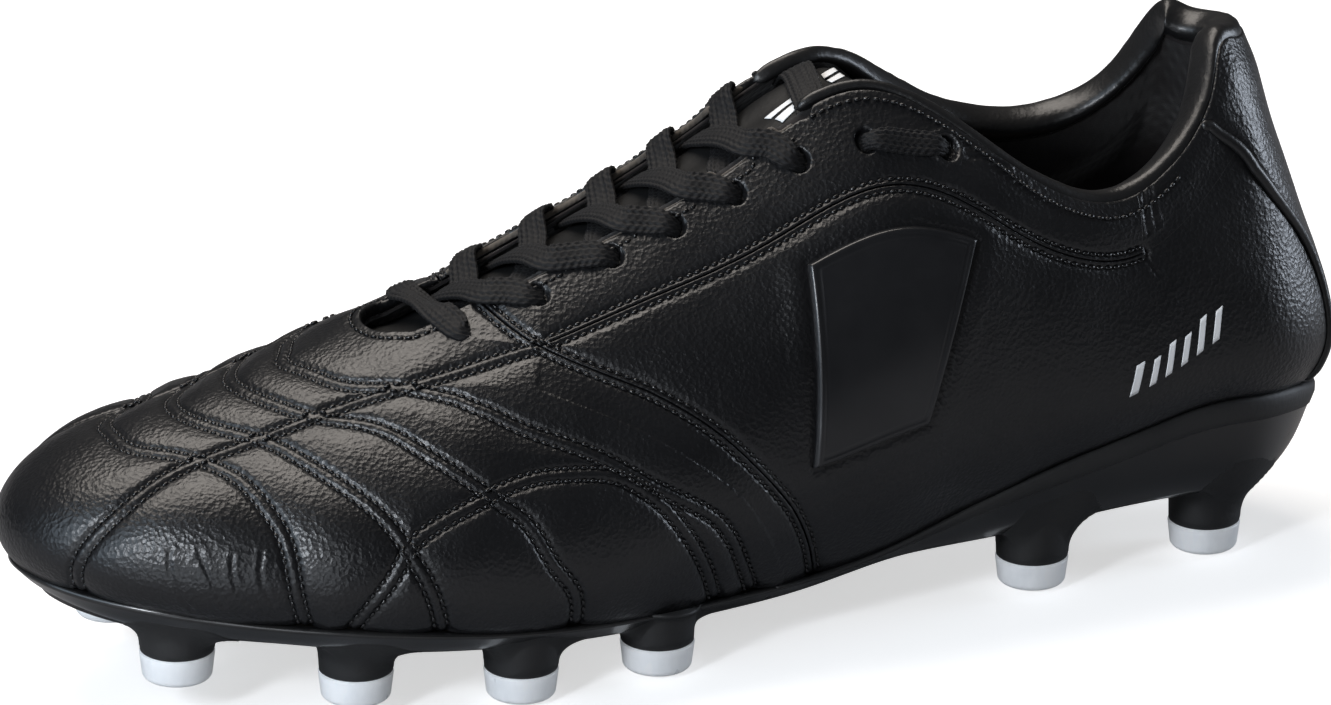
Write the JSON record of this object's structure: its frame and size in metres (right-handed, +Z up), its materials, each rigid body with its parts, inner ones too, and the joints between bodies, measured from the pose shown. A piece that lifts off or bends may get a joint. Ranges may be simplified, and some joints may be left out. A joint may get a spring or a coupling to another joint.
{
  "type": "soccer cleat",
  "caption": "Low-cut lace-up soccer cleat with a quilted leather vamp, a padded collar, a moulded plastic sole and round studs with clear tips.",
  "frame": {"origin": "on the ground under the middle of the shoe's outer box, between the stud tips", "axes": "+X from toe to heel along the shoe, +Y towards the inner (medial) side, +Z up"},
  "size_m": [0.2886, 0.1003, 0.1108],
  "materials": {
    "upper_leather": "black pebbled leather, semi-gloss",
    "binding_leather": "smooth black leather, glossy",
    "tongue_leather": "thin smooth black leather, satin",
    "lining_fabric": "black brushed lining, matte",
    "foam": "grey padding foam, matte",
    "stiffener": "moulded thermoplastic sheet, matte",
    "board": "fibre board, matte",
    "shank_steel": "brushed",
    "sockliner_cloth": "dark red cloth on foam, matte",
    "lace_braid": "flat braided polyester, matte",
    "badge_film": "smooth raised film, satin gloss",
    "outsole_gloss": "moulded plastic, glossy",
    "sole_matte": "moulded plastic, fine matte",
    "stud_tip_clear": "frosted clear plastic"
  },
  "bodies": {
    "boot": {"bottom_filler": "board", "collar_binding": "binding_leather", "collar_foam": "foam", "heel_band": "sole_matte", "heel_counter": "stiffener", "heel_tab": "upper_leather", "insole_board": "board", "lace_bar": "lace_braid", "lace_crossing_1": "lace_braid", "lace_crossing_2": "lace_braid", "lace_crossing_3": "lace_braid", "lace_crossing_4": "lace_braid", "lace_crossing_5": "lace_braid", "lace_lock_lateral": "lace_braid", "lace_lock_medial": "lace_braid", "lace_top": "lace_braid", "lateral_badge": "badge_film", "lateral_collar_panel": "upper_leather", "lateral_eyestay": "upper_leather", "lateral_quarter": "upper_leather", "medial_badge": "badge_film", "medial_collar_panel": "upper_leather", "medial_eyestay": "upper_leather", "medial_quarter": "upper_leather", "outsole": "outsole_gloss", "quarter_lining": "lining_fabric", "shank": "shank_steel", "stud_base_lateral_1": "sole_matte", "stud_base_lateral_2": "sole_matte", "stud_base_lateral_3": "sole_matte", "stud_base_lateral_4": "sole_matte", "stud_base_lateral_5": "sole_matte", "stud_base_lateral_6": "sole_matte", "stud_base_medial_1": "sole_matte", "stud_base_medial_2": "sole_matte", "stud_base_medial_3": "sole_matte", "stud_base_medial_4": "sole_matte", "stud_base_medial_5": "sole_matte", "stud_base_medial_6": "sole_matte", "stud_tip_lateral_1": "stud_tip_clear", "stud_tip_lateral_2": "stud_tip_clear", "stud_tip_lateral_3": "stud_tip_clear", "stud_tip_lateral_4": "stud_tip_clear", "stud_tip_lateral_5": "stud_tip_clear", "stud_tip_lateral_6": "stud_tip_clear", "stud_tip_medial_1": "stud_tip_clear", "stud_tip_medial_2": "stud_tip_clear", "stud_tip_medial_3": "stud_tip_clear", "stud_tip_medial_4": "stud_tip_clear", "stud_tip_medial_5": "stud_tip_clear", "stud_tip_medial_6": "stud_tip_clear", "toe_puff": "stiffener", "vamp": "upper_leather", "vamp_lining": "lining_fabric"},
    "tongue": {"tongue_cover": "tongue_leather", "tongue_foam": "foam", "tongue_lining": "lining_fabric"},
    "sockliner": {"sockliner": "sockliner_cloth"}
  },
  "joints": [
    {"name": "tongue_fold", "type": "hinge", "parent": "boot", "child": "tongue", "pos_m": [-0.0755, 0, 0.0595], "axis": [0, 1, 0], "range_deg": [0, 8], "stiffness_Nm_per_rad": 0.25, "springref_deg": -6.88},
    {"name": "sockliner_lift", "type": "hinge", "parent": "boot", "child": "sockliner", "pos_m": [-0.138, 0, 0.0285], "axis": [0, -1, 0], "range_deg": [0, 4]}
  ]
}
